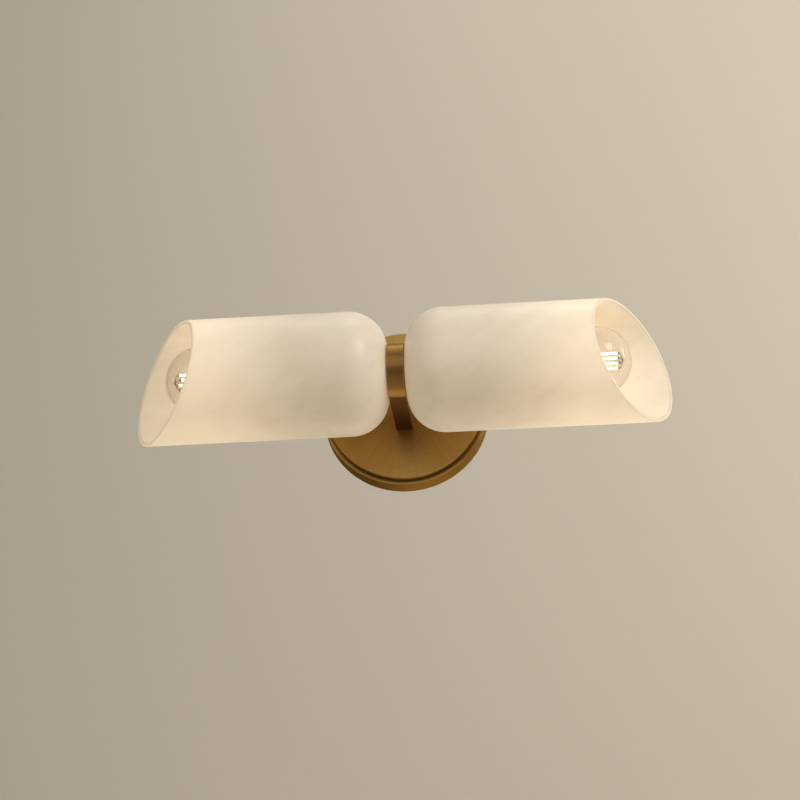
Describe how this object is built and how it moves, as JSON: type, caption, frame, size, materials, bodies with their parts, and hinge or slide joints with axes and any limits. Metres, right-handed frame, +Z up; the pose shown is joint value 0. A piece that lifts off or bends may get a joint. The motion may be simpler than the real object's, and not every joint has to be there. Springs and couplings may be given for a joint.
{
  "type": "double arm wall sconce",
  "caption": "Double arm wall sconce: slant-cut translucent glass cylinders either side of a flat brass bar with a half-round end, on a round stepped canopy.",
  "frame": {"origin": "middle of the crossbar's back, on the wall's plane, halfway between the wall box slots", "axes": "+X along the shades to the viewer's right, +Y into the wall, +Z up; the room is at -Y"},
  "size_m": [0.4054, 0.1254, 0.127],
  "materials": {
    "antique_brass": "brushed, antiqued and lacquered",
    "plain_brass": "satin",
    "zinc_steel": "zinc plated",
    "nickel_cap": "nickel plated brass",
    "tinned_copper": "tinned",
    "solder": "dull solder",
    "support_wire": "drawn wire",
    "green_screw": "green dyed",
    "green_insulation": "smooth",
    "black_insulation": "smooth",
    "white_insulation": "smooth",
    "white_nylon": "moulded",
    "connector_plastic": "moulded",
    "phenolic": "moulded",
    "cap_insulator": "glassy",
    "black_rubber": "matt",
    "opal_glass": "satin, faintly streaked, translucent white",
    "clear_glass": "clear",
    "stem_glass": "clear",
    "filament": "phosphor coated, lit"
  },
  "bodies": {
    "root": {"wall_crossbar": "zinc_steel", "ground_screw": "green_screw", "ground_eyelets": "tinned_copper", "ground_lead": "green_insulation", "canopy": "antique_brass", "canopy_side_screws": "antique_brass", "backing_plate": "zinc_steel", "arm_screws": "zinc_steel", "lock_washer": "zinc_steel", "wire_bushing": "white_nylon", "arm": "antique_brass", "cross_tube": "zinc_steel", "wire_connectors": "connector_plastic", "outer_gasket_left": "black_rubber", "inner_gasket_left": "black_rubber", "glass_washer_left": "zinc_steel", "ring_nut_left": "plain_brass", "stem_nuts_left": "zinc_steel", "socket_cup_left": "plain_brass", "holder_bracket_left": "zinc_steel", "holder_screws_left": "zinc_steel", "lampholder_left": "phenolic", "screw_shell_left": "plain_brass", "centre_contact_left": "plain_brass", "neutral_rivet_left": "plain_brass", "hot_lead_left": "black_insulation", "neutral_lead_left": "white_insulation", "outer_gasket_right": "black_rubber", "inner_gasket_right": "black_rubber", "glass_washer_right": "zinc_steel", "ring_nut_right": "plain_brass", "stem_nuts_right": "zinc_steel", "socket_cup_right": "plain_brass", "holder_bracket_right": "zinc_steel", "holder_screws_right": "zinc_steel", "lampholder_right": "phenolic", "screw_shell_right": "plain_brass", "centre_contact_right": "plain_brass", "neutral_rivet_right": "plain_brass", "hot_lead_right": "black_insulation", "neutral_lead_right": "white_insulation"},
    "shade_left": {"shade_left": "opal_glass"},
    "shade_right": {"shade_right": "opal_glass"},
    "bulb_foot_left": {"bulb_foot_left": "solder"},
    "bulb_left": {"bulb_insulator_left": "cap_insulator", "bulb_cap_left": "nickel_cap", "bulb_globe_left": "clear_glass", "bulb_stem_left": "stem_glass", "bulb_filaments_left": "filament", "bulb_supports_left": "support_wire"},
    "bulb_foot_right": {"bulb_foot_right": "solder"},
    "bulb_right": {"bulb_insulator_right": "cap_insulator", "bulb_cap_right": "nickel_cap", "bulb_globe_right": "clear_glass", "bulb_stem_right": "stem_glass", "bulb_filaments_right": "filament", "bulb_supports_right": "support_wire"}
  },
  "joints": [
    {"name": "shade_left_turn", "type": "hinge", "parent": "root", "child": "shade_left", "pos_m": [-0.0085, -0.079, 0], "axis": [-1, 0, 0], "continuous": true},
    {"name": "bulb_left_draw", "type": "slide", "parent": "root", "child": "bulb_foot_left", "axis": [-1, 0, 0], "range_m": [0, 0.01016]},
    {"name": "bulb_left_turn", "type": "hinge", "parent": "bulb_foot_left", "child": "bulb_left", "pos_m": [-0.101, -0.079, 0], "axis": [-1, 0, 0], "range_deg": [0, 1440]},
    {"name": "shade_right_turn", "type": "hinge", "parent": "root", "child": "shade_right", "pos_m": [0.0085, -0.079, 0], "axis": [1, 0, 0], "continuous": true},
    {"name": "bulb_right_draw", "type": "slide", "parent": "root", "child": "bulb_foot_right", "axis": [1, 0, 0], "range_m": [0, 0.01016]},
    {"name": "bulb_right_turn", "type": "hinge", "parent": "bulb_foot_right", "child": "bulb_right", "pos_m": [0.101, -0.079, 0], "axis": [1, 0, 0], "range_deg": [0, 1440]}
  ],
  "couplings": [
    {"joint": "bulb_left_draw", "follows": "bulb_left_turn", "m_per_rad": 0.00040425},
    {"joint": "bulb_right_draw", "follows": "bulb_right_turn", "m_per_rad": 0.00040425}
  ]
}
